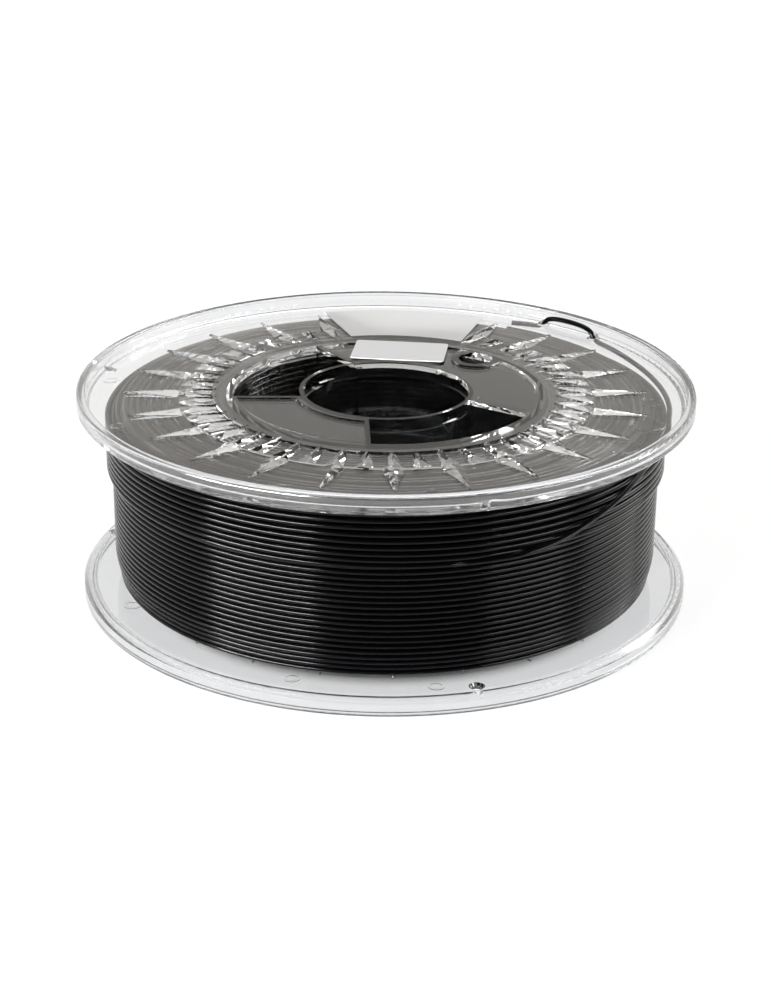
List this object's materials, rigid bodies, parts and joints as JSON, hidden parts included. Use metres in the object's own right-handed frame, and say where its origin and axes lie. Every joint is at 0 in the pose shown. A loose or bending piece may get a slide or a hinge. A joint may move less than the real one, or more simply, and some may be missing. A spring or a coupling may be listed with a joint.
{
  "type": "filament spool",
  "caption": "Clear moulded spool wound with black filament; its halves lap at the drum, the free end is held in holes beside the rim, and the flange carries a blank paper label.",
  "frame": {"origin": "centre of the lower rim's resting face, on the spool's axis", "axes": "+Z along the spool's axis, from the lower flange to the upper one; -Y towards the viewer; the moulded pattern's axis lies 47 degrees from +X towards +Y"},
  "size_m": [0.2, 0.2, 0.07],
  "materials": {
    "clear_plastic": "clear moulded polystyrene, polished",
    "filament": "black extruded strand, soft gloss",
    "label_paper": "white coated label paper, satin, blank",
    "sticker_paper": "white sticker paper, satin, blank"
  },
  "bodies": {
    "root": {"upper_half": "clear_plastic", "lower_half": "clear_plastic", "winding_core": "filament", "lower_turns_layer": "filament", "upper_turns_layer": "filament", "filament_end": "filament", "product_label": "label_paper", "inspection_sticker": "sticker_paper"}
  },
  "joints": []
}
